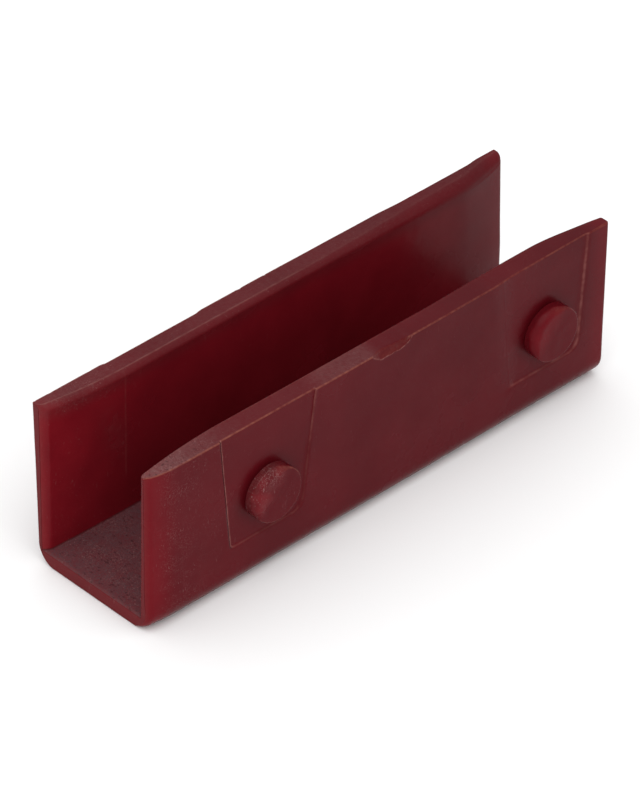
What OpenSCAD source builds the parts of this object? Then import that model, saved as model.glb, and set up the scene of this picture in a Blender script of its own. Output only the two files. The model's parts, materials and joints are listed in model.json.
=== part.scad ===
// Guide shoe insert: a U-shaped polyurethane liner that slides along the blade of a lift guide rail.
// X runs along the rail, Y across the blade, Z up out of the base towards the open side.
// The origin is at the middle of the underside.

/* [Body] */
// length along the rail
body_length = 85; // [60:1:140]
// outside width across the base
base_width = 22.6; // [22:0.1:40]
// height from the underside to the wall tops
body_height = 26.8; // [20:0.1:45]
// how far each outer wall leans out from base to top
wall_flare = 0.38; // [0:0.02:0.8]
// radius of the two long bottom edges
base_round = 3.3; // [1:0.1:4.5]
// radius of the outer upright edges at both ends
end_round = 0.5; // [0.3:0.1:1]
// radius of the upper wall corners at the far end
corner_round = 0.5; // [0.3:0.1:2]

/* [Rail channel] */
// thickness of the guide rail blade the channel is made for
rail_blade = 16; // [8:0.5:16]
// play of a new insert on each side of the blade
blade_play = 0.3; // [0.1:0.05:0.6]
// floor thickness between the lead-ins
floor_thick = 3.5; // [3:0.1:5]
// lean of each inner wall face, in degrees
inner_draft = 0.2; // [0:0.1:0.8]
// length of the lead-in at each end
lead_length = 13.5; // [6:0.5:20]
// how far each inner wall falls back over a lead-in
lead_wall = 1.4; // [0.4:0.05:1.5]
// how far the floor drops over a lead-in
lead_floor = 1.1; // [0.4:0.05:1.4]
// how much of its slope a lead-in gains by curving away: 0 is a straight ramp, 1 starts level
lead_curve = 0.7; // [0.1:0.05:0.9]

/* [Studs] */
// diameter of the locating studs
stud_diameter = 8.5; // [5:0.1:10]
// stud height above the recessed wall face
stud_height = 2; // [1.2:0.1:4]
// chamfer round the stud face
stud_chamfer = 0.3; // [0.1:0.05:0.6]
// height of the stud centres over the underside
stud_level = 13.9; // [13:0.05:15.5]
// stud centres to the near end of the body, on the -X side
near_inset = 21.4; // [12:0.1:24]
// stud centres to the far end of the body, on the +X side
far_inset = 11.25; // [10.5:0.05:24]

/* [Stud recess] */
// depth of the shallow recess around each stud
recess_depth = 0.25; // [0.1:0.05:0.5]
// recess width at the wall top
recess_top = 17.2; // [12:0.1:18]
// recess width at its lower edge
recess_foot = 13; // [11:0.1:15]
// height of the lower recess edge over the underside
recess_level = 7.5; // [6:0.1:8]
// radius of the lower recess corners
recess_round = 1.6; // [0.5:0.1:2.5]
// how far the recess lies off the stud centre, towards the near end
recess_shift = 0.45; // [0:0.05:0.6]

/* [Hidden] */
$fn = 96;
fine = 960; // sides of the large lead-in circles
cut = 1; // overlap that keeps every cut through its face
lap = 0.03; // how far the upright rounds lie outside full tangency, which gives them clean edges
half_length = body_length / 2;
half_base = base_width / 2;
half_channel = rail_blade / 2 + blade_play;
flare_angle = atan(wall_flare / body_height);
near_x = near_inset - half_length;
far_x = half_length - far_inset;
tall = body_height + 2 * cut;
urethane = [0.30, 0.03, 0.05];

// Turns what was drawn upright at the outer wall so that it leans with that wall.
module lean_out() {
    translate([0, -half_base, 0])
        rotate([flare_angle, 0, 0])
            children();
}

// Cross-section of the solid body before it is hollowed, extruded along X.
module body_block() {
    top = half_base + wall_flare;
    translate([-half_length, 0, 0])
        rotate([90, 0, 90])
            linear_extrude(height = body_length)
                polygon([[-half_base, 0], [half_base, 0], [top, body_height], [-top, body_height]]);
}

// Corner piece along one long bottom edge: what lies outside a round tangent to base and wall.
module long_edge_cutter(r) {
    run = body_length + 2 * cut;
    middle = half_base + r * (sin(flare_angle) - 1) / cos(flare_angle);
    touch = [-middle - r * cos(flare_angle), r - r * sin(flare_angle)];
    beyond = touch - cut * [cos(flare_angle), sin(flare_angle)];
    translate([-run / 2, 0, 0])
        rotate([90, 0, 90])
            difference() {
                linear_extrude(height = run)
                    polygon([[-middle, r], touch, beyond, [beyond[0], -cut], [-middle, -cut]]);
                translate([-middle, r, -cut])
                    cylinder(r = r, h = run + 2 * cut);
            }
}

// Corner piece that leaves a round of radius r on an upright edge at the +X end.
module upright_edge_cutter(r) {
    translate([half_length - r, 0, -cut])
        difference() {
            translate([0, -cut, 0])
                cube([r + cut, r + cut, tall]);
            translate([lap, r - lap, -cut])
                cylinder(r = r, h = tall + 2 * cut);
        }
}

// Corner piece that leaves a round of radius r on the upper wall corners at the +X end.
module top_corner_cutter(r) {
    wide = 2 * base_width;
    translate([half_length - r, -wide / 2, body_height - r])
        difference() {
            cube([r + cut, wide, r + cut]);
            translate([lap, -cut, lap])
                rotate([-90, 0, 0])
                    cylinder(r = r, h = wide + 2 * cut);
        }
}

// Space over a lead-in that starts at [0, 0] and has fallen by drop at the body end.
module lead_space(drop) {
    slope = atan(drop / lead_length);
    bend = lead_curve * slope;
    r = sqrt(lead_length * lead_length + drop * drop) / 2 / sin(bend);
    difference() {
        translate([-cut, -3 * drop])
            square([lead_length + 3 * cut, 4 * drop]);
        translate([r * sin(bend - slope), -r * cos(bend - slope)])
            circle(r = r, $fn = fine);
    }
}

// Space over a straight face at y = 0 that falls away over the lead-ins at both ends.
module led_in_space(drop, rise) {
    reach = half_length + cut;
    translate([-reach, 0])
        square([2 * reach, rise]);
    for (way = [0, 1])
        mirror([way, 0])
            translate([half_length - lead_length, 0])
                lead_space(drop);
}

// One half of the channel, leaned by the draft about its edge on the floor.
module half_channel_space() {
    translate([0, -half_channel, floor_thick])
        rotate([inner_draft, 0, 0])
            translate([0, 0, -floor_thick])
                linear_extrude(height = tall + cut)
                    led_in_space(lead_wall, half_channel + cut);
}

// Space that the rail blade runs in.
module rail_channel() {
    intersection() {
        translate([0, base_width, floor_thick])
            rotate([90, 0, 0])
                linear_extrude(height = 2 * base_width)
                    led_in_space(lead_floor, tall);
        union() {
            half_channel_space();
            mirror([0, 1, 0])
                half_channel_space();
        }
    }
}

// Outline of the recess, open at the wall top, with both lower corners rounded.
module recess_outline() {
    slope = (recess_top - recess_foot) / 2 / (body_height - recess_level);
    side = recess_foot / 2 + slope * recess_round - recess_round;
    upper = recess_foot / 2 + slope * (tall - recess_level);
    union() {
        polygon([
            [-recess_foot / 2 - slope * recess_round, recess_level + recess_round],
            [recess_foot / 2 + slope * recess_round, recess_level + recess_round],
            [upper, tall],
            [-upper, tall]
        ]);
        translate([-side, recess_level])
            square([2 * side, recess_round + cut / 2]);
        for (way = [-1, 1])
            translate([way * side, recess_level + recess_round])
                circle(r = recess_round);
    }
}

// Shallow cut in the wall face around the stud at position x.
module stud_recess(x) {
    lean_out()
        translate([x - recess_shift, recess_depth, 0])
            rotate([90, 0, 0])
                linear_extrude(height = recess_depth + cut)
                    recess_outline();
}

// Stud standing straight out from the wall at position x.
module stud(x) {
    face = half_base + stud_level * tan(flare_angle) - recess_depth;
    root = face - recess_depth - cut / 2;
    translate([x, -root, stud_level])
        rotate([90, 0, 0])
            cylinder(d = stud_diameter, h = face + stud_height - stud_chamfer - root);
    translate([x, -(face + stud_height - stud_chamfer), stud_level])
        rotate([90, 0, 0])
            cylinder(d1 = stud_diameter, d2 = stud_diameter - 2 * stud_chamfer, h = stud_chamfer);
}

// Everything that is taken off one outer wall.
module wall_cuts() {
    long_edge_cutter(base_round);
    for (way = [0, 1])
        mirror([way, 0, 0])
            lean_out()
                upright_edge_cutter(end_round);
    stud_recess(near_x);
    stud_recess(far_x);
}

// The whole moulding.
module insert() {
    color(urethane)
        union() {
            difference() {
                body_block();
                rail_channel();
                top_corner_cutter(corner_round);
                wall_cuts();
                mirror([0, 1, 0])
                    wall_cuts();
            }
            for (way = [0, 1])
                mirror([0, way, 0]) {
                    stud(near_x);
                    stud(far_x);
                }
        }
}

insert();
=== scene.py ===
import json
import math
from types import SimpleNamespace
import bpy
from mathutils import Matrix, Vector, noise


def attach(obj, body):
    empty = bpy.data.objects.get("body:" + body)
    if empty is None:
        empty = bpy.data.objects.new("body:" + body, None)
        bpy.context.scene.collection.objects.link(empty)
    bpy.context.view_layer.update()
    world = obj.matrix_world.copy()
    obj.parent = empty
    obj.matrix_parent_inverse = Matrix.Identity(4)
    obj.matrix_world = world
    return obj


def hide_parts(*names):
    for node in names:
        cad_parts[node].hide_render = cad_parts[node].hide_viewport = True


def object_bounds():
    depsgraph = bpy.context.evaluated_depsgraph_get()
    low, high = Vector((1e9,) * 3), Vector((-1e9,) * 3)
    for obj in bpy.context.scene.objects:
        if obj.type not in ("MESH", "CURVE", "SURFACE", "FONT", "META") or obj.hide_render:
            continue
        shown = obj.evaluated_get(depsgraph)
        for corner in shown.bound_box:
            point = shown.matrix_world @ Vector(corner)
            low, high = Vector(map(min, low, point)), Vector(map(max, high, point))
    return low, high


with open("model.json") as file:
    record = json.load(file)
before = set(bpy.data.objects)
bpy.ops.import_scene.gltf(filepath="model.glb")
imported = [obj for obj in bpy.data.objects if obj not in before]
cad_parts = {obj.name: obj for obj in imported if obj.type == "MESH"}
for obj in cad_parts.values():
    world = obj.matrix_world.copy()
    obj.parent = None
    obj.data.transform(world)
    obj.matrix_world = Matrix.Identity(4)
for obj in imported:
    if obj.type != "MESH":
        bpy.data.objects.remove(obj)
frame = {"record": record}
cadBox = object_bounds()
mm = 0.001
mounts = {mount["name"]: mount for mount in frame["record"]["mounts"]}


def clamp(value, low=0.0, high=1.0):
    return max(low, min(high, value))


def ramp(value, low, high):  # smooth step from 0 to 1
    t = clamp((value - low) / (high - low))
    return t * t * (3 - 2 * t)


def bell(value, middle, width):
    return math.exp(-((value - middle) / width) ** 2)


def wave(x, y, z, seed=0.0):
    return noise.noise(Vector((x + seed * 17.3, y - seed * 9.1, z + seed * 4.7)))


def inset(gap, radius):  # how far a round of that radius falls back at this distance from the edge
    if gap >= radius:
        return 0.0
    return radius - math.sqrt(max(0.0, radius * radius - (radius - gap) ** 2))


def addMesh(name, verts, faces, masks, material):
    mesh = bpy.data.meshes.new(name)
    mesh.from_pydata([Vector(v) * mm for v in verts], [], faces)
    for mask, values in masks.items():
        layer = mesh.attributes.new(mask, "FLOAT", "POINT")
        layer.data.foreach_set("value", values)
    mesh.validate()
    mesh.update()
    mesh.shade_smooth()
    piece = bpy.data.objects.new(name, mesh)
    bpy.context.scene.collection.objects.link(piece)
    piece.data.materials.append(material)
    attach(piece, "root")
    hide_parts("insert")
    return piece


def addNode(tree, kind, **values):
    node = tree.nodes.new(kind)
    for key, value in values.items():
        if key in node.inputs:
            node.inputs[key].default_value = value
        else:
            setattr(node, key, value)
    return node


# red polyurethane: what a user would change about its colours and finish
urethaneLook = {
    "deep": (0.070, 0.0017, 0.0045, 1),
    "lifted": (0.086, 0.0031, 0.0064, 1),
    "warm": (0.188, 0.0072, 0.0128, 1),
    # brighter red: real tone on the outside, and painted glow on the inner faces
    "edge": (0.232, 0.072, 0.050, 1),
    # pale colour of real pale lines (crease, torn lip, stud scuffs), also used as painted highlight along
    # the recess outlines and the inner top ridge
    "seamAndHighlight": (0.30, 0.112, 0.098, 1),
    "sawn": (0.138, 0.055, 0.055, 1),
    "pit": (0.046, 0.010, 0.012, 1),
    "ground": (0.088, 0.038, 0.043, 1),
    "speck": (0.22, 0.100, 0.098, 1),
    # painted shade: dark red laid in the recess groove, on the wall beside the studs and in the inner floor
    # corner
    "grooveAndShade": (0.030, 0.0008, 0.0016, 1),
    "roughness": 0.24,
    "roughnessTop": 0.55,
    "roughnessGround": 0.62,
    "specular": 0.064,
    "dents": {"Strength": 0.18, "Distance": 0.0003},
    "grainDepth": 0.00012,
}
# scales of its noise patterns, per metre
grainScale = {
    "broad": 70.0,
    "warm": 160.0,
    "dents": 260.0,
    "dusty": 330.0,
    "scratched": 420.0,
    "mottle": 520.0,
    "seamAndHighlight": 900.0,
    "fine": 1500.0,
    "scratches": 2100.0,
    "strokes": 2300.0,
    "pits": 2900.0,
    "grain": 3800.0,
    "dots": 4300.0,
}


def makeUrethane():
    look = urethaneLook
    material = bpy.data.materials.new("urethane")
    material.use_nodes = True
    tree = material.node_tree
    link = tree.links.new
    shader = tree.nodes["Principled BSDF"]
    shader.inputs["Specular IOR Level"].default_value = look["specular"]
    place = addNode(tree, "ShaderNodeTexCoord").outputs["Object"]

    def mask(name):
        return addNode(tree, "ShaderNodeAttribute", attribute_name=name).outputs["Fac"]

    def cloud(name, detail=4.0, stretch=None):
        node = addNode(tree, "ShaderNodeTexNoise", Scale=grainScale[name], Detail=detail, Roughness=0.55)
        spot = place
        if stretch:
            mapping = addNode(tree, "ShaderNodeMapping", Scale=stretch)
            link(place, mapping.inputs["Vector"])
            spot = mapping.outputs["Vector"]
        link(spot, node.inputs["Vector"])
        return node.outputs["Fac"]

    def band(source, low, high, outLow=0.0, outHigh=1.0):
        node = addNode(tree, "ShaderNodeMapRange")
        node.inputs["From Min"].default_value = low
        node.inputs["From Max"].default_value = high
        node.inputs["To Min"].default_value = outLow
        node.inputs["To Max"].default_value = outHigh
        link(source, node.inputs["Value"])
        return node.outputs["Result"]

    def times(a, b):
        node = addNode(tree, "ShaderNodeMath", operation="MULTIPLY", use_clamp=True)
        link(a, node.inputs[0])
        link(b, node.inputs[1])
        return node.outputs[0]

    def plus(a, b):
        node = addNode(tree, "ShaderNodeMath", operation="ADD")
        link(a, node.inputs[0])
        link(b, node.inputs[1])
        return node.outputs[0]

    def blend(factor, under, over):
        node = addNode(tree, "ShaderNodeMix", data_type="RGBA")
        link(factor, node.inputs["Factor"])
        if isinstance(under, tuple):
            node.inputs[6].default_value = under
        else:
            link(under, node.inputs[6])
        node.inputs[7].default_value = over
        return node.outputs[2]

    def mixValue(factor, under, over):
        node = addNode(tree, "ShaderNodeMix", data_type="FLOAT")
        link(factor, node.inputs["Factor"])
        link(under, node.inputs[2])
        node.inputs[3].default_value = over
        return node.outputs[0]

    broad = band(cloud("broad"), 0.38, 0.66)
    fine = cloud("fine", 3.0)
    grain = cloud("grain", 2.0)
    dots = band(cloud("dots", 1.0, (1.0, 1.0, 0.6)), 0.66, 0.74)
    strokes = band(cloud("strokes", 1.0, (1.0, 1.0, 0.3)), 0.70, 0.76)
    speck = times(plus(dots, strokes), band(cloud("dusty", 2.0), 0.42, 0.60))
    fold = addNode(tree, "ShaderNodeMath", operation="PINGPONG")  # thin lines at its middle value
    fold.inputs[1].default_value = 0.5
    link(cloud("scratches", 2.0), fold.inputs[0])
    net = times(band(fold.outputs[0], 0.466, 0.494), band(cloud("scratched", 2.0), 0.40, 0.58, 0.0, 0.75))
    pits = band(cloud("pits", 1.0, (1.0, 0.45, 1.0)), 0.62, 0.70)
    edge, top, ground = mask("edge"), mask("top"), mask("floor")
    dust, seamAndHighlight, warm, grooveAndShade = mask("dust"), mask("seamAndHighlight"), mask("warm"), mask("grooveAndShade")

    colour = blend(broad, look["deep"], look["lifted"])
    # warm red: real tone on the outside, painted glow on the inner faces
    colour = blend(times(warm, band(cloud("warm"), 0.25, 0.7, 0.6, 1.0)), colour, look["warm"])
    colour = blend(times(top, band(fine, 0.32, 0.68, 0.5, 1.0)), colour, look["sawn"])
    mottle = times(band(grain, 0.34, 0.66, 0.62, 1.0), band(cloud("mottle", 3.0), 0.34, 0.62, 0.8, 1.0))
    colour = blend(times(ground, mottle), colour, look["ground"])
    pitted = plus(times(top, top), times(ground, band(broad, 0.0, 1.0, 0.45, 0.8)))
    colour = blend(times(pitted, pits), colour, look["pit"])
    colour = blend(times(edge, band(fine, 0.28, 0.7, 0.2, 1.0)), colour, look["edge"])
    # painted shade: darkens the recess groove, the wall beside the studs and the inner floor corner
    colour = blend(grooveAndShade, colour, look["grooveAndShade"])
    # pale lines: real marks, plus painted highlight along the recess outlines and the ridge
    colour = blend(times(seamAndHighlight, band(cloud("seamAndHighlight", 3.0), 0.36, 0.60, 0.45, 1.0)), colour, look["seamAndHighlight"])
    colour = blend(times(dust, speck), colour, look["speck"])
    colour = blend(times(times(dust, dust), net), colour, look["speck"])
    link(colour, shader.inputs["Base Color"])

    rough = band(broad, 0.0, 1.0, look["roughness"] - 0.04, look["roughness"] + 0.06)
    rough = mixValue(top, rough, look["roughnessTop"])
    rough = mixValue(ground, rough, look["roughnessGround"])
    link(rough, shader.inputs["Roughness"])

    dents = addNode(tree, "ShaderNodeBump", **look["dents"])
    link(cloud("dents", 3.0), dents.inputs["Height"])
    coarse = plus(top, ground)
    bump = addNode(tree, "ShaderNodeBump", Distance=look["grainDepth"])
    link(band(coarse, 0.0, 1.0, 0.06, 0.75), bump.inputs["Strength"])
    link(grain, bump.inputs["Height"])
    link(dents.outputs["Normal"], bump.inputs["Normal"])
    link(bump.outputs["Normal"], shader.inputs["Normal"])
    return material


urethane = makeUrethane()
maskNames = ("edge", "top", "floor", "seamAndHighlight", "grooveAndShade", "dust", "warm")
print("material ready")

# the channel-shaped body, in millimetres; a pair is a stretch along the rail unless a note says otherwise
bodyShape = {
    "length": round((cadBox[1][0] - cadBox[0][0]) / mm, 2),
    "height": round(cadBox[1][2] / mm, 2),
    "halfBase": 11.3,
    "flare": 0.38,
    "baseRound": 3.3,
    "endBase": {"nearFront": 0.3, "nearRear": 0.0, "farFront": 0.2, "farRear": 0.2},  # added by each end
    "endBaseFrom": {"near": 36.0, "far": 5.0},  # how far from the middle that starts
    "endRound": {"nearFront": 0.8, "nearRear": 0.15, "farFront": 0.4, "farRear": 0.12},
    "cornerRound": {"nearFront": 0.4, "nearRear": 0.1, "farFront": 0.2, "farRear": 0.3},
    "halfChannel": 8.3,
    "floorThick": 3.5,
    "draft": math.radians(0.2),
    "frontLean": 0.3,  # the front wall's inner face leans in before its far lead-in
    "frontLeanStart": (8.0, 26.0),
    "frontLeanEnd": (30.0, 39.0),
    "rearLean": 0.3,  # the rear wall's inner face leans in towards its near end
    "rearLeanEnd": (-10.0, 30.0),
    "farLean": 0.6,  # and out at its far end
    "farLeanFrom": 33.0,
    "farLeanLevel": 12.0,  # only above this level
    "farReach": {"Front": (0.1, 0.08), "Rear": (0.45, 0.64)},  # how far the end stands out, low and high
    "nearReach": (-0.15, 0.1),  # the same at the near end of both walls
    "reachFrom": 36.0,
    "reachFull": 8.0,  # distance from the middle of the floor where it is full at the far end
    "leadLength": {"nearFront": 13.5, "nearRear": 13.5, "farFront": 12.0, "farRear": 7.8, "floor": 13.5},
    "leadWall": {"nearFront": 1.4, "nearRear": 1.4, "farFront": 1.52, "farRear": 1.0},
    "leadFloor": 1.1,
    "leadCurve": {"nearFront": 0.7, "nearRear": 0.7, "farFront": 0.85, "farRear": 0.7, "floor": 0.7},
    "leadTaper": 0.43,  # share by which the near front lead-in is shallower at the floor
    "leadEdge": {"nearFront": 0.15, "nearRear": 1.0, "farFront": 0.3, "farRear": 0.8},
    "floorEdge": 0.3,
    "underEdge": 0.2,
    "topOuterRound": 0.13,
    "farOuterRound": {"Front": 0.12, "Rear": 0.0},  # what it gains by the far end
    "farOuterFrom": 37.0,
    "topInnerRound": {"Front": 0.2, "Rear": 0.85},
    "farInnerRound": {"Front": 0.3, "Rear": 0.75},  # what it gains by the far end
    "farInnerTo": 36.0,
    "leastRound": 0.03,
    "roundShare": 0.7,  # the most of a wall's thickness that the inner round takes
    "floorCorner": 0.2,
    "ridge": 0.06,  # raised line along the inner top edges
    "ridgeForm": ((0.16, 0.0), (0.08, 0.7), (0.0, 1.0), (-0.07, 0.3)),  # section: place, share of height
    "ridgeFoot": 0.17,
    "ridgeRoom": (0.4, 0.45),  # it shrinks where the top or the inner round is narrower than this
    "ridgeLeast": 0.02,
    "ridgeRough": (0.6, 0.9, 0.7),  # mean, variation and pace of its height
    "ridgeEnd": (-6.0, 8.0),
    "bow": 0.25,  # the front wall bows out
    "sag": 0.2,  # the rear wall's far half leans in
    "sagSpan": (-5.0, 25.0),
    "easeDepth": 0.7,  # the front wall's near end curves in
    "easeLength": 5.0,
    "easeLow": 0.5,  # share of it at the base, and the level where it is full
    "easeFull": 7.0,
    "waviness": 0.03,
}
# recess round each stud: shape, how soft each side of its outline is, and how bright the painted highlight
# along it is
recessShape = {
    "depth": {"Front": 0.25, "Rear": 0.2},
    "footHalf": 6.5,
    "level": 7.5,
    "centres": {"near": -21.55, "far": 30.8},
    "topHalf": {"nearLeft": 8.6, "nearRight": 8.6, "farLeft": 8.6, "farRight": 7.65},
    "round": {"nearLeft": 0.5, "nearRight": 1.8, "farLeft": 0.6, "farRight": 1.8},
    "soft": {"nearLeft": 0.06, "nearRight": 0.3, "farLeft": 2.2, "farRight": 0.5},
    "topSoft": {"nearLeft": 0.06, "nearRight": 0.06, "farLeft": 2.2, "farRight": 0.5},
    "footSoft": {"near": 0.26, "far": 0.3},
    "rearSoft": 0.45,  # added on the rear wall
    # painted highlight along each side: a pale line standing in for the lit edge of the step
    "bright": {"nearLeft": 1.0, "nearRight": 0.14, "farLeft": 0.0, "farRight": 0.42},
    "topBright": {"nearLeft": 0.0, "nearRight": 0.32, "farLeft": 0.0, "farRight": 0.0},  # painted highlight added at the top
    "footBright": {"near": 0.2, "far": 0.3},
    "rearBright": 0.3,  # share left on the rear wall
    "upper": (17.0, 23.0),  # levels between which the sides change to their look at the top
    "turn": 0.8,  # the foot's look blends into a side's over this distance
    "lip": 0.016,
    "lipPlace": (-0.06, 0.09),  # middle and width, across the outline
    "grooveAndShade": 0.1,  # cut outside the sharp side; its hollow also gets painted shade
    "groovePlace": (-0.13, 0.09),
    "lineWidth": 0.035,
    "lineSoft": 0.35,  # what the pale line's width gains from softness
    "lineShift": 0.1,
    "slantSpan": 4.0,  # mesh lines follow a slanted side within this distance
}
# locating studs, in millimetres; their upper left rims are worn soft
studShape = {
    "radius": mounts["near_front_stud"]["dims"]["r_mm"],
    "level": round(mounts["near_front_stud"]["pos_m"][2] / mm, 3),
    "centres": {end: round(mounts[end + "_front_stud"]["pos_m"][0] / mm, 3) for end in ("near", "far")},
    "tip": 13.25,
    "root": 10.4,
    "rim": 0.24,
    "worn": {"near": 0.75, "far": 0.9},  # what the rim gains in the worn half
    "wornWay": (-0.75, 0.66),  # which half that is, along the rail and up
    "wornSpan": (0.0, 0.8),
    "softness": 0.6,  # share of the rim's fall that starts softer than a plain round
    "dish": 0.015,
    "scuff": {"near": 1.0, "far": 0.12},
    "line": {"near": 0.5, "far": 0.2},  # strength of the pale rim
    "blotch": {"near": 0.8, "far": 0.15},  # how patchy the red of the worn half is
    "glow": {"near": 0.62, "far": 0.36},  # and how strong
    "shade": 0.65,  # painted shadow: darker wall beside the worn half
    "shadeWidth": 1.5,
    "around": 144,
    "rows": {"face": 14, "rim": 8, "side": 12},
}
# flake torn from the front wall's outer top edge, in millimetres
tearShape = {
    "from": -2.75,
    "to": 4.7,
    "below": 1.2,
    "inward": 0.75,
    "taper": (1.05, 0.85),  # how wide it starts, and how much of that it loses
    "start": (0.22, 0.8),  # share of the length over which it opens, and how sharply
    "end": (0.2, 0.7),
    "ragged": (0.14, 0.05),  # broad and fine
    "hollow": 0.05,
    "lip": 0.05,
    "lipWidth": 0.11,
    "sawn": {"top": 0.75, "side": 0.7},
    "edge": 0.15,
}
# rings along the body in millimetres, then steps round one half of its section
meshSteps = {
    "along": 0.62,
    "tear": 0.12,
    "tearRings": 68,
    "tearMargin": 0.3,
    "crease": 0.1,
    "besideLine": (-0.36, -0.24, -0.16, -0.1, -0.05, 0.0, 0.05, 0.1, 0.16, 0.24, 0.36),
    "clearOfLine": 0.44,
    "fromEnd": (0.0, 0.015, 0.05, 0.1, 0.17, 0.26, 0.36, 0.5, 0.64, 0.8, 0.95, 1.1, 1.35),
    "clearOfEnd": 1.5,
    "least": 0.012,
    "besideFoot": (-0.3, -0.2, -0.12, -0.05, 0.0, 0.05, 0.12, 0.2, 0.3),
    "clearOfFoot": 0.4,
    "under": 8,
    "baseRound": 14,
    "belowFoot": 9,
    "aboveFoot": 36,
    "belowTop": 16,
    "belowTopStep": 0.1,
    "outerRound": 5,
    "top": 17,
    "innerRound": 9,
    "inner": 40,
    "floorCorner": 5,
    "floor": 10,
}
# wear, colour and painted light of the body: strengths from 0 to 1, and stretches along the rail in
# millimetres
bodyWearAndLight = {
    "nearEnd": (-42.0, -24.0),  # the dusty stretch
    "sawnFront": {"all": 0.03, "nearHalf": 0.10, "patch": 0.32, "nearEnd": 0.78},
    "nearHalf": (-2.5, 0.5),
    "patchStart": (-14.0, -10.0),
    "patchEnd": (-3.5, -0.5),
    "sawnRear": {"all": 0.22, "nearEnd": 0.2, "farHalf": -0.06},
    "farHalf": (8.0, 34.0),
    "dust": {"all": 0.05, "inside": 0.12, "outside": 0.5, "sawn": 0.75, "ground": 0.36},
    "dustStart": (-42.0, -39.5),
    # painted glow: the inner faces get a brighter red, as if lit through the walls, weaker towards the far
    # end
    "insideGlow": {"all": 0.6, "nearEnd": 0.32, "farEnd": -0.28},
    "glowFar": (30.0, 37.0),
    "skin": ((0.5, -42.5, -37.0), (0.1, -40.0, 5.0), (0.05, 0.0, 22.0)),  # red that fades from the near end
    "skinFar": (0.28, 38.5, 42.0),  # and comes back at the far end
    "edgeLoss": (0.45, 4.0, 12.0),  # pale edges weaken past the middle
    "shoulderEdge": 0.7,  # pale edge under the outer top round, on it and beside it on the top
    "shoulderWidth": 0.08,
    "roundEdge": 0.8,
    "topEdge": 0.5,
    "topEdgeWidth": 0.05,  # share of the top's width
    "ridgeEdge": 0.1,
    # painted highlight along the raised ridge on the inner top edge
    "ridgeHighlight": 0.3,
    "browSawnAndSheen": (0.9, 0.35),  # sawn look over the inner top round, partly a painted sheen
    "browInside": 0.45,  # how much of the inner face's look it has by its lower edge
    "browFade": 2.4,  # distance below it over which the rest follows
    "floorInside": 0.5,
    "endMark": 0.06,
    "endMarkSpan": (0.05, 0.5),  # distance from the end
    "endFace": {"edge": 0.05, "dust": 0.2, "warm": 0.42},
    "chip": 0.2,
    "chipFrom": 0.30,
    "crease": -29.2,  # faint upright line on the rear wall's inner face
    "creaseMark": 0.11,
    "creaseWidth": 0.12,
    "creaseFrom": 9.0,  # level above which the crease and the film show
    "film": 0.5,  # pale film beside it
    "filmPlace": (-31.2, 1.8),  # middle and width along the rail
    "filmSlant": (0.25, 18.0),  # slope of that middle, and the level where it holds
    "filmLevel": (17.5, 4.5),  # middle and width in height
    "corner": 0.6,  # painted shade: dark line in the corner where the walls meet the floor
}
outerLean = math.atan(bodyShape["flare"] / bodyShape["height"])
halfLength = bodyShape["length"] / 2


def wornShare(across, above):  # how far a direction from a stud's middle points into its worn half
    way = studShape["wornWay"]
    return ramp(way[0] * across + way[1] * above, *studShape["wornSpan"])


def recessOutline(x, z, side):  # distance to the closest outline, positive inside, and its look there
    r = recessShape
    best = (-99.0, 0.2, 0.0, 0.0)
    for label, centre in r["centres"].items():
        flank = label + ("Left" if x < centre else "Right")
        foot = z - r["level"]
        rise = foot / (bodyShape["height"] - r["level"])
        reach = r["footHalf"] + (r["topHalf"][flank] - r["footHalf"]) * rise - abs(x - centre)
        turn = r["round"][flank]
        if reach < turn and foot < turn:
            gap = turn - math.hypot(turn - reach, turn - foot)
        else:
            gap = min(reach, foot)
        t = ramp(foot - reach, -r["turn"], r["turn"])
        upper = ramp(z, *r["upper"])
        flankSoft = r["soft"][flank] * (1 - upper) + r["topSoft"][flank] * upper
        flankBright = r["bright"][flank] + r["topBright"][flank] * upper
        soft = r["footSoft"][label] * (1 - t) + flankSoft * t
        bright = r["footBright"][label] * (1 - t) + flankBright * t
        if side > 0:
            soft += r["rearSoft"]
            bright *= r["rearBright"]
        if gap > best[0]:
            best = (gap, soft, bright, t if flank == "nearLeft" and side < 0 else 0.0)
    return best


def recessFlanks():  # each slanted side, the way it faces and where it meets the wall top
    for label, centre in recessShape["centres"].items():
        for flank, way in ((label + "Left", -1), (label + "Right", 1)):
            yield flank, way, centre + way * recessShape["topHalf"][flank]


def slantShift(station, z):  # moves the mesh lines so that they follow the slanted recess sides
    r = recessShape
    drop = clamp((bodyShape["height"] - z) / (bodyShape["height"] - r["level"]))
    shift = 0.0
    for flank, way, line in recessFlanks():
        lean = (r["topHalf"][flank] - r["footHalf"]) * drop
        outside = (station - line) * way > 0
        span = min(r["slantSpan"], halfLength - way * line) if outside else r["slantSpan"]
        shift -= way * lean * max(0.0, 1 - abs(station - line) / span)
    return shift


def tearSize(x):  # how far the flake reaches down the wall and in over the top
    t = tearShape
    along = (x - t["from"]) / (t["to"] - t["from"])
    if along <= 0 or along >= 1:
        return 0.0, 0.0
    opening = min(1.0, along / t["start"][0]) ** t["start"][1]
    closing = min(1.0, (1 - along) / t["end"][0]) ** t["end"][1]
    broad, fine = t["ragged"]
    rough = 1 + broad * wave(x * 1.3, 0.0, 0.0, 31) + fine * wave(x * 4.0, 0.0, 0.0, 32)
    size = opening * closing * rough
    return t["below"] * size, t["inward"] * size * (t["taper"][0] - t["taper"][1] * along)


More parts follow.
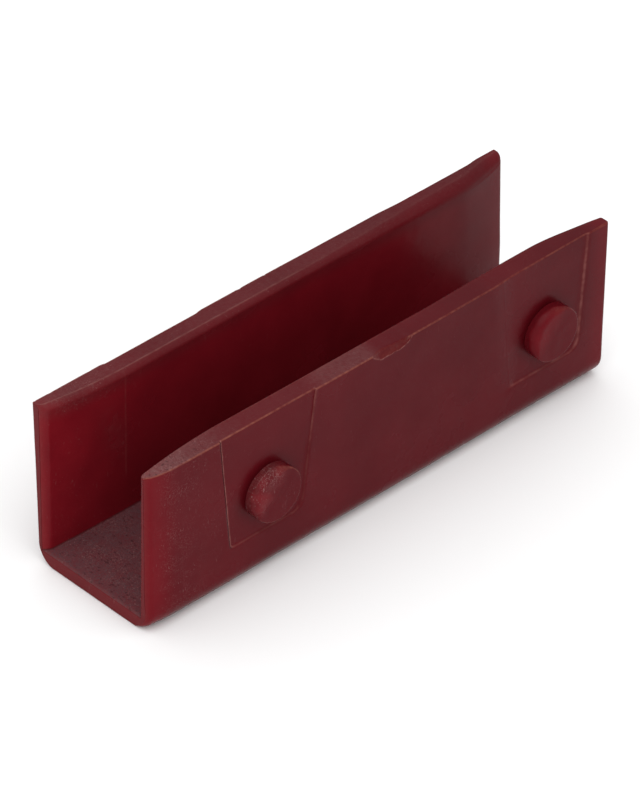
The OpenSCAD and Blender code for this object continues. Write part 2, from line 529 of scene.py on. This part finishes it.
def ringStations():  # places of the mesh rings, closer together where the shape changes
    m = meshSteps
    stations = {round(-halfLength + m["along"] * i, 3) for i in range(int(2 * halfLength / m["along"]) + 1)}
    tearStart = tearShape["from"] - m["tearMargin"]
    stations |= {round(tearStart + m["tear"] * i, 3) for i in range(m["tearRings"])}
    stations |= {round(bodyWearAndLight["crease"] + m["crease"] * i, 3) for i in (-2, -1, 0, 1, 2)}
    for _, _, line in recessFlanks():
        stations = {s for s in stations if abs(s - line) > m["clearOfLine"]}
        stations |= {round(line + d, 3) for d in m["besideLine"]}
    for way in (-1, 1):
        stations = {s for s in stations if way * s < halfLength - m["clearOfEnd"]}
        stations |= {round(way * (halfLength - d), 3) for d in m["fromEnd"]}
    ordered = sorted(stations)
    return [s for i, s in enumerate(ordered) if i == 0 or s - ordered[i - 1] > m["least"]]


def leadFall(gap, where):  # share of its depth that a lead-in has fallen by
    past = clamp(1 - gap / bodyShape["leadLength"][where])
    curve = bodyShape["leadCurve"][where]
    return curve * past ** 2 + (1 - curve) * past


def pulledIn(form, z):  # how far the outer face lies behind its straight line near an end
    b = bodyShape
    share = b["easeLow"] + (1 - b["easeLow"]) * ramp(z, 0.0, b["easeFull"])
    return inset(form.gap, b["endRound"][form.corner]) + form.ease * share


def outerFace(form, z):
    return bodyShape["halfBase"] + bodyShape["flare"] * z / bodyShape["height"] - pulledIn(form, z)


def innerFace(form, z):
    b = bodyShape
    above = z - b["floorThick"]
    up = clamp(above / (b["height"] - b["floorThick"]))
    taper = 1 - b["leadTaper"] * (1 - up) if form.corner == "nearFront" else 1.0
    face = b["halfChannel"] + b["leadWall"][form.corner] * form.fall * taper + above * math.tan(b["draft"])
    if form.side < 0:
        ended = ramp(form.station, *b["frontLeanEnd"])
        face -= b["frontLean"] * ramp(form.station, *b["frontLeanStart"]) * (1 - ended) * up
    else:
        high = clamp((z - b["farLeanLevel"]) / (b["height"] - b["farLeanLevel"]))
        face -= b["rearLean"] * (1 - ramp(form.station, *b["rearLeanEnd"])) * up
        face += b["farLean"] * ramp(form.station, b["farLeanFrom"], halfLength) * high
    return face + inset(form.gap, b["leadEdge"][form.corner])


def wallForm(station, side):  # sizes of one half of the section at this place along the rail
    b = bodyShape
    end = "near" if station < 0 else "far"
    wall = "Front" if side < 0 else "Rear"
    corner = end + wall
    gap = halfLength - abs(station)
    form = SimpleNamespace(station=station, side=side, wall=wall, corner=corner, gap=gap)
    form.fall = leadFall(gap, corner)
    form.height = b["height"] - inset(gap, b["cornerRound"][corner])
    atEnd = ramp(abs(station), b["endBaseFrom"][end], halfLength)
    form.baseRound = b["baseRound"] + b["endBase"][corner] * atEnd
    form.floor = b["floorThick"] - b["leadFloor"] * leadFall(gap, "floor") - inset(gap, b["floorEdge"])
    form.under = inset(gap, b["underEdge"])
    form.endEdge = bodyWearAndLight["endMark"] * (1.0 - ramp(gap, *bodyWearAndLight["endMarkSpan"]))
    if side < 0:
        form.bow = b["bow"] * (1 - (station / halfLength) ** 2)
    else:
        form.bow = -b["sag"] * ramp(station, *b["sagSpan"])
    form.ease = b["easeDepth"] * max(0.0, 1 - gap / b["easeLength"]) ** 2 if corner == "nearFront" else 0.0
    atFarEnd = ramp(station, b["farOuterFrom"], halfLength)
    form.outerRound = b["topOuterRound"] + b["farOuterRound"][wall] * atFarEnd
    form.shoulder = form.height - form.outerRound
    form.topStart = outerFace(form, form.shoulder) - form.outerRound
    innerTop = innerFace(form, form.height)
    innerRound = b["topInnerRound"][wall] + b["farInnerRound"][wall] * ramp(station, 0.0, b["farInnerTo"])
    form.innerRound = max(b["leastRound"], min(innerRound, b["roundShare"] * (form.topStart - innerTop)))
    form.topEnd = innerTop + form.innerRound
    return form


def point(part, y, z, edge=0.0, top=0.0, ground=0.0, inside=0.0, seamAndHighlight=0.0):
    return part, y, z, edge, top, ground, inside, seamAndHighlight


def quarter(i, steps):
    return math.pi / 2 * i / steps


def basePoints(form):
    steps = meshSteps
    r = form.baseRound
    middle = bodyShape["halfBase"] + r * (math.sin(outerLean) - 1) / math.cos(outerLean)
    flat = middle - pulledIn(form, 0.0)
    points = [point("under", flat * i / steps["under"], form.under) for i in range(steps["under"])]
    for i in range(steps["baseRound"] + 1):
        a = -math.pi / 2 + (math.pi / 2 - outerLean) * i / steps["baseRound"]
        z = r + r * math.sin(a)
        points.append(point("under", middle - pulledIn(form, z) + r * math.cos(a), max(form.under, z)))
    return points


def outerPoints(form):
    steps = meshSteps
    low, high, foot = form.baseRound, form.shoulder, recessShape["level"]
    clear = steps["clearOfFoot"]
    dense = high - steps["belowTop"] * steps["belowTopStep"]
    below, above = steps["belowFoot"], steps["aboveFoot"]
    levels = [low + (foot - clear - low) * i / below for i in range(1, below + 1)]
    levels += [foot + d for d in steps["besideFoot"]]
    levels += [foot + clear + (dense - foot - clear) * i / above for i in range(above + 1)]
    levels += [dense + steps["belowTopStep"] * i for i in range(1, steps["belowTop"] + 1)]
    points = []
    for z in levels:
        edge = bodyWearAndLight["shoulderEdge"] * ramp(z, high - bodyWearAndLight["shoulderWidth"], high)
        points.append(point("outer", outerFace(form, z), z, edge))
    r, rounded = form.outerRound, steps["outerRound"]
    for i in range(1, rounded + 1):
        a = quarter(i, rounded)
        y, z = form.topStart + r * math.cos(a), high + r * math.sin(a)
        points.append(point("outer", y, z, bodyWearAndLight["roundEdge"], i / rounded))
    return points


def topPoints(form):
    b, w = bodyShape, bodyWearAndLight
    steps = meshSteps["top"]
    start, end, height = form.topStart, form.topEnd, form.height
    topRoom, roundRoom = b["ridgeRoom"]
    narrow = clamp(min((start - end) / topRoom, form.innerRound / roundRoom), b["ridgeLeast"])
    gap, soft = recessOutline(form.station, height, form.side)[:2]
    depth = recessShape["depth"][form.wall] * ramp(gap, -soft, soft)
    points = []
    for i in range(1, steps):
        t = (i / steps) ** 1.3
        y = start - depth * (1 - t) ** 3 + (end + b["ridgeFoot"] * narrow - start) * t
        points.append(point("top", y, height, w["topEdge"] * (1 - ramp(t, 0.0, w["topEdgeWidth"])), 1.0))
    mean, variation, pace = b["ridgeRough"]
    rough = max(0.0, mean + variation * wave(form.station * pace, form.side, 0.0, 3))
    rough *= 1 - ramp(form.station, *b["ridgeEnd"])
    for d, h in b["ridgeForm"]:
        z = height + b["ridge"] * h * rough * narrow
        # painted highlight on the ridge
        seamAndHighlight = w["ridgeHighlight"] * h * min(1.0, rough)
        points.append(point("top", end + d * narrow, z, w["ridgeEdge"], 1.0, seamAndHighlight=seamAndHighlight))
    return points


def innerPoints(form):
    steps, w = meshSteps, bodyWearAndLight
    r, rounded = form.innerRound, steps["innerRound"]
    brow = form.height - r
    sawn, sawnLow = w["browSawnAndSheen"]
    insideLow = w["browInside"]
    points = []
    for i in range(1, rounded + 1):
        a = quarter(i, rounded)
        y, z = form.topEnd - r * math.sin(a), brow + r * math.cos(a)
        # sawn look fading down the round, partly a painted sheen
        top = sawn - (sawn - sawnLow) * i / rounded
        points.append(point("inner", y, z, top=top, inside=insideLow * ramp(i, 0, rounded)))
    corner = bodyShape["floorCorner"]
    for i in range(1, steps["inner"] + 1):
        z = brow + (form.floor + corner - brow) * (i / steps["inner"]) ** 1.4
        depth = ramp(brow - z, 0.0, w["browFade"])
        inside = insideLow + (1 - insideLow) * depth
        points.append(point("inner", innerFace(form, z), z, top=sawnLow * (1 - depth), inside=inside))
    flat = innerFace(form, form.floor) - corner
    for i in range(1, steps["floorCorner"] + 1):
        a, t = quarter(i, steps["floorCorner"]), i / steps["floorCorner"]
        y, z = flat + corner * math.cos(a), form.floor + corner - corner * math.sin(a)
        points.append(point("inner", y, z, ground=t, inside=1 - (1 - w["floorInside"]) * t))
    for i in range(1, steps["floor"] + 1):
        y = flat * (1 - i / steps["floor"])
        points.append(point("ground", y, form.floor, ground=1.0, inside=w["floorInside"]))
    return points


def recessPoint(form, x, y, z):  # sinks a point of the outer face into its recess, marks the outline with a painted highlight, and adds painted shade in the groove and beside the studs
    r, s = recessShape, studShape
    gap, soft, bright, sharp = recessOutline(x, z, form.side)
    # the groove beside the sharp side is cut, and given painted shade with the same share
    grooveAndShade = sharp * bell(gap, *r["groovePlace"])
    y -= r["depth"][form.wall] * ramp(gap, -soft, soft)
    y += r["lip"] * (1 - sharp) * bell(gap, *r["lipPlace"]) - r["grooveAndShade"] * grooveAndShade
    # painted highlight: a pale line along the outline where the step would catch the light
    seamAndHighlight = bright * bell(gap, r["lineShift"] * sharp, r["lineWidth"] * (1 + sharp) + r["lineSoft"] * soft)
    # painted shadow: a dark halo on the wall beside each stud's worn upper left half
    for centre in s["centres"].values():
        across, above = x - centre, z - s["level"]
        off = max(0.1, math.hypot(across, above))
        shade = s["shade"] * wornShare(across / off, above / off)
        grooveAndShade = max(grooveAndShade, shade * bell(off, s["radius"], s["shadeWidth"]))
    return y, seamAndHighlight, grooveAndShade


def tearPoint(form, part, x, y, z, edge, top, seamAndHighlight):  # moves a point of the top edge into the torn flake
    t = tearShape
    below, inward = tearSize(x)
    if below <= 0 or inward <= 0:
        return y, z, edge, top, seamAndHighlight
    drop = (form.height - z) / below
    reach = (outerFace(form, z) - y) / inward
    share = max(0.0, drop) + max(0.0, reach)
    if share < 1:
        across = drop if part == "outer" else -reach  # -1 at the flake's inner edge, 1 at its lower edge
        y = outerFace(form, form.height) - inward / 2 * (1 - across)
        if across < 0:
            z = form.height - below / 2 * (1 + across) ** 1.7
            top = t["sawn"]["top"]
        else:
            hollow = t["hollow"] * math.cos(math.pi / 2 * across)
            z = form.height - below / 2 * (1 + across) - hollow
            y -= hollow
            top = t["sawn"]["side"]
        edge = t["edge"]
    if part == "outer":
        lip = bell((share - 1) * below, 0.0, t["lipWidth"])
        y += t["lip"] * lip * (1 if share >= 1 else 0.5)
        seamAndHighlight = max(seamAndHighlight, 0.7 * lip * (0.3 + 0.7 * ramp(wave(x * 4.5, 0.0, 0.0, 33), -0.25, 0.25)))
    return y, z, edge, top, seamAndHighlight


def finishPoint(form, plain):  # adds recess, wear, painted light and shade, and warp to a point of the plain section
    b, w = bodyShape, bodyWearAndLight
    side = form.side
    part, y, z, edge, top, ground, inside, seamAndHighlight = plain
    edge = max(edge, form.endEdge)
    x = form.station
    grooveAndShade = 0.0
    if part in ("under", "outer"):
        x += slantShift(form.station, z)
    if part == "outer":
        y, seamAndHighlight, grooveAndShade = recessPoint(form, x, y, z)
    if part == "inner" and side > 0 and z > w["creaseFrom"]:
        seamAndHighlight = max(seamAndHighlight, w["creaseMark"] * bell(x, w["crease"], w["creaseWidth"]) * (1 - top))
        slant, level = w["filmSlant"]
        film = bell(x + slant * (z - level), *w["filmPlace"]) * bell(z, *w["filmLevel"])
        top = max(top, w["film"] * film * (0.5 + wave(x * 0.9, 0.0, z * 0.9, 41)))
    # painted shade in the rounded corner between wall and floor
    if part == "inner" and 0 < ground < 1:
        grooveAndShade = w["corner"]
    if part in ("outer", "top"):
        if side < 0:
            y, z, edge, top, seamAndHighlight = tearPoint(form, part, x, y, z, edge, top, seamAndHighlight)
        bite = max(0.0, wave(x * 1.5, side * 5 + y * 0.4, z * 1.1, 5) - w["chipFrom"]) * w["chip"] * edge
        y -= bite if part == "outer" else 0.0
        z -= bite * 0.8 + 0.02 * top * (1 + wave(x * 0.9, side * 3, 0.0, 7))
    y += form.bow * (z / b["height"]) ** 2 + b["waviness"] * wave(x * 0.16, side * 4, z * 0.2, 9)
    rise = clamp(z / b["height"]) ** 1.5
    farLow, farHigh = b["farReach"][form.wall]
    nearLow, nearHigh = b["nearReach"]
    farEnd = ramp(form.station, b["reachFrom"], halfLength) * ramp(abs(y), 0.0, b["reachFull"])
    nearEnd = ramp(-form.station, b["reachFrom"], halfLength)
    x += farEnd * (farLow + (farHigh - farLow) * rise) - nearEnd * (nearLow + (nearHigh - nearLow) * rise)
    return x, side * y, z, clamp(edge), clamp(top), ground, seamAndHighlight, grooveAndShade, inside


def halfRing(station, side):  # half of the section, from the middle of the underside to that of the floor
    form = wallForm(station, side)
    points = basePoints(form) + outerPoints(form) + topPoints(form) + innerPoints(form)
    return [finishPoint(form, plain) for plain in points]


def bodyMarks(x, y, edge, top, ground, seamAndHighlight, grooveAndShade, inside):  # the material's masks at a point of the body
    w = bodyWearAndLight
    near = 1 - ramp(x, *w["nearEnd"])
    if y < 0:
        share = w["sawnFront"]
        patch = ramp(x, *w["patchStart"]) * (1 - ramp(x, *w["patchEnd"]))
        sawn = share["all"] + share["nearHalf"] * (1 - ramp(x, *w["nearHalf"]))
        sawn += share["patch"] * patch + share["nearEnd"] * near
    else:
        share = w["sawnRear"]
        sawn = share["all"] + share["nearEnd"] * near + share["farHalf"] * ramp(x, *w["farHalf"])
    sawn *= top
    share = w["dust"]
    dust = share["all"] + share["inside"] * inside * near + share["sawn"] * sawn + share["ground"] * ground
    dust += share["outside"] * near * (1 - inside) * ramp(x, *w["dustStart"])
    skin = sum(strength * (1 - ramp(x, low, high)) for strength, low, high in w["skin"])
    skin += w["skinFar"][0] * ramp(x, *w["skinFar"][1:])
    # painted glow on the inner faces, real red tone on the outer ones
    share = w["insideGlow"]
    warm = share["all"] + share["nearEnd"] * near + share["farEnd"] * ramp(x, *w["glowFar"])
    warm = inside * warm + (1 - inside) * skin
    edge *= 1 - w["edgeLoss"][0] * ramp(x, *w["edgeLoss"][1:])
    return edge, sawn, ground, seamAndHighlight, grooveAndShade, clamp(dust), warm


def capHalf(verts, outline, way):  # fills one wall and half the floor at an end, from outer to inner side
    steps = meshSteps

    def progress(chain, bend):  # 0 to 1 along the floor, 1 to 2 up the wall
        runs = [0.0]
        for a, b in zip(chain, chain[1:]):
            runs.append(runs[-1] + (Vector(verts[b]) - Vector(verts[a])).length)
        along, up = runs[bend], runs[-1] - runs[bend]
        return [run / along if run < along else 1 + (run - along) / up for run in runs]

    highest = max(range(len(outline)), key=lambda i: (round(verts[outline[i]][2], 3), -i))
    split = highest + steps["top"] // 2
    out, back = outline[:split], outline[split:][::-1]
    outRun = progress(out, steps["under"] + steps["baseRound"] // 2)
    backRun = progress(back, steps["floor"] + steps["floorCorner"] // 2)
    faces = []
    i = j = 0
    while i < len(out) - 1 or j < len(back) - 1:
        if j == len(back) - 1 or (i < len(out) - 1 and outRun[i + 1] <= backRun[j + 1]):
            face = (out[i], out[i + 1], back[j])
            i += 1
        else:
            face = (out[i], back[j + 1], back[j])
            j += 1
        a, b, c = (verts[k] for k in face)
        turn = (b[1] - a[1]) * (c[2] - a[2]) - (b[2] - a[2]) * (c[1] - a[1])
        faces.append(face if turn * way > 0 else face[::-1])
    return faces


def makeBody():
    verts = []
    marks = []
    stations = ringStations()
    endFace = tuple(bodyWearAndLight["endFace"].get(name, 0.0) for name in maskNames)
    count = half = 0
    for station in stations:
        front = halfRing(station, -1)
        rear = halfRing(station, 1)
        loop = front + rear[-2:0:-1]  # both halves share the middle of the floor and of the underside
        count, half = len(loop), len(front)
        for x, y, z, *looks in loop:
            verts.append((x, y, z))
            marks.append(endFace if abs(station) == halfLength else bodyMarks(x, y, *looks))
    faces = []
    for i in range(len(stations) - 1):
        for j in range(count):
            k = (j + 1) % count
            faces.append((i * count + j, i * count + k, (i + 1) * count + k, (i + 1) * count + j))
    sides = len(faces)
    for start, way in ((0, -1), ((len(stations) - 1) * count, 1)):
        ring = list(range(start, start + count))
        faces += capHalf(verts, ring[:half], way)
        faces += capHalf(verts, [start] + ring[:half - 2:-1], way)
    masks = {name: [mark[i] for mark in marks] for i, name in enumerate(maskNames)}
    piece = addMesh("insertBody", verts, faces, masks, urethane)
    for polygon in piece.data.polygons[sides:]:  # flat end faces
        polygon.use_smooth = False
    return piece


body = makeBody()
print("body", len(body.data.polygons), "faces")


def studProfile(part, t, rim):  # a row's distance from the stud's axis and from the middle of the body
    s = studShape
    flat = s["radius"] - rim
    if part == "face":
        return flat * t, s["tip"] - s["dish"] * (1 - t ** 4)
    if part == "rim":
        out = math.sin(math.pi / 2 * t)
        plain = 1 - math.cos(math.pi / 2 * t)
        return flat + rim * out, s["tip"] - rim * ((1 - s["softness"]) * plain + s["softness"] * out ** 3)
    return s["radius"], s["tip"] - rim + (s["root"] - s["tip"] + rim) * t


def studMarks(label, part, t, c, d, wrinkle, patch, seed):  # the material's masks at a point of the stud
    s = studShape
    scuff, blotch = s["scuff"][label], s["blotch"][label]
    worn = wornShare(c, d)
    near = ramp(t, 0.0, 1.0) if part == "face" else 1.0  # 1 from the edge of the face outwards
    outside = {"face": 0.12 * near, "rim": 0.12 + 0.14 * t, "side": 0.28}[part]
    line = math.sin(math.pi * t) * (1 - ramp(0.3 * d - 0.95 * c, 0.1, 0.7)) if part == "rim" else 0.0
    streak = worn * near * (0.5 if part == "side" else 1.0)
    return {
        "edge": clamp(s["line"][label] * line * (0.7 + wave(4 * c, 4 * d, 0.0, seed + 7))),
        "top": clamp(scuff * worn * outside * (1 + 0.5 * wrinkle)),
        "seamAndHighlight": clamp(scuff * worn * (0.05 + outside) * 0.3 * ramp(wrinkle, 0.15, 0.5)),
        "dust": clamp(scuff * (0.25 + 0.75 * worn * near)),
        "warm": clamp(0.08 + streak * (1 - blotch + blotch * ramp(patch, -0.4, 0.4)) * s["glow"][label]),
    }


def makeStud(label, side, seed):
    s = studShape
    n = s["around"]
    centre = s["centres"][label]
    rows = [(part, i / steps) for part, steps in s["rows"].items() for i in range(1, steps + 1)]
    verts = [(centre, side * (s["tip"] - s["dish"]), s["level"])]
    masks = {name: [0.0] for name in maskNames}
    for part, t in rows:
        for j in range(n):
            a = 2 * math.pi * j / n
            c, d = math.cos(a), math.sin(a)
            worn = wornShare(c, d)
            rim = s["rim"] + s["worn"][label] * worn * (1 + 0.4 * wave(2 * c, 2 * d, 0.0, seed + 1))
            r, y = studProfile(part, t, rim)
            patch = wave(c * r * 0.55, d * r * 0.55, y * 0.55, seed + 9)
            wrinkle = wave(c * r * 2.6, d * r * 2.6, y * 2.2, seed + 5)
            dent = 0.012 * s["scuff"][label] * worn * wrinkle
            dent += 0.02 * wave(c * r * 0.8, d * r * 0.8, 0.0, seed + 3)
            r += dent if part != "face" else 0.0
            y += dent if part != "side" else 0.0
            verts.append((centre + r * c, side * y, s["level"] + r * d))
            marks = studMarks(label, part, t, c, d, wrinkle, patch, seed)
            for name in maskNames:
                masks[name].append(marks.get(name, 0.0))
    faces = [(0, 1 + j, 1 + (j + 1) % n) for j in range(n)]
    for i in range(len(rows) - 1):
        for j in range(n):
            k = (j + 1) % n
            faces.append((1 + i * n + j, 1 + (i + 1) * n + j, 1 + (i + 1) * n + k, 1 + i * n + k))
    last = 1 + (len(rows) - 1) * n
    faces.append(tuple(last + j for j in range(n - 1, -1, -1)))
    if side > 0:
        faces = [tuple(reversed(f)) for f in faces]
    return addMesh(label + ("FrontStud" if side < 0 else "RearStud"), verts, faces, masks, urethane)


for index, label in enumerate(studShape["centres"]):
    makeStud(label, -1, 11 + index)
    makeStud(label, 1, 21 + index)
print("studs ready")

# pale floor and soft light, in metres and watts
stageLook = {
    "floor": (0.94, 0.94, 0.94, 1),
    "floorHalf": 6.0,
    "floorRoughness": 0.9,
    "world": 1.0,
    "key": 3.5,
    "keySize": 0.9,
    "keyPlace": (-0.25, -0.35, 0.95),
}


def makeStage():
    look = stageLook
    mesh = bpy.data.meshes.new("floor")
    s = look["floorHalf"]
    mesh.from_pydata([(-s, -s, 0), (s, -s, 0), (s, s, 0), (-s, s, 0)], [], [(0, 1, 2, 3)])
    floor = bpy.data.objects.new("floor", mesh)
    bpy.context.scene.collection.objects.link(floor)
    paint = bpy.data.materials.new("floorPaint")
    paint.use_nodes = True
    shader = paint.node_tree.nodes["Principled BSDF"]
    shader.inputs["Base Color"].default_value = look["floor"]
    shader.inputs["Roughness"].default_value = look["floorRoughness"]
    floor.data.materials.append(paint)
    world = bpy.data.worlds.new("studio")
    bpy.context.scene.world = world
    world.use_nodes = True
    back = world.node_tree.nodes["Background"]
    back.inputs["Color"].default_value = (1, 1, 1, 1)
    back.inputs["Strength"].default_value = look["world"]
    lamp = bpy.data.lights.new("key", "AREA")
    lamp.energy = look["key"]
    lamp.size = look["keySize"]
    key = bpy.data.objects.new("key", lamp)
    key.location = look["keyPlace"]
    key.rotation_euler = Vector(look["keyPlace"]).to_track_quat("Z", "Y").to_euler()  # shines at the origin
    bpy.context.scene.collection.objects.link(key)
    bpy.context.scene.view_settings.view_transform = "Standard"


makeStage()

# camera where the photograph was taken from, in metres and a lens in millimetres
photoView = {
    "azimuth": math.radians(-43.63),
    "elevation": math.radians(37.42),
    "roll": math.radians(0.47),
    "distance": 0.9180,
    "lens": 302.7,
    "sensor": 36,
    "target": (0.0, 0.0, 0.01093),
    "slide": (-0.00073, 0.00045),
}


def makeCamera():
    v = photoView
    a, e, r = v["azimuth"], v["elevation"], v["roll"]
    back = Vector((math.sin(a) * math.cos(e), -math.cos(a) * math.cos(e), math.sin(e)))
    level = Vector((math.cos(a), math.sin(a), 0))
    upright = back.cross(level)
    right = level * math.cos(r) + upright * math.sin(r)
    up = upright * math.cos(r) - level * math.sin(r)
    spot = Vector(v["target"]) + right * v["slide"][0] + up * v["slide"][1] + back * v["distance"]
    data = bpy.data.cameras.new("camera")
    data.lens = v["lens"]
    data.sensor_width = v["sensor"]
    camera = bpy.data.objects.new("camera", data)
    turn = Matrix((right, up, back)).transposed().to_4x4()
    camera.matrix_world = Matrix.Translation(spot) @ turn
    bpy.context.scene.collection.objects.link(camera)
    bpy.context.scene.camera = camera


makeCamera()
print("stage and camera ready")
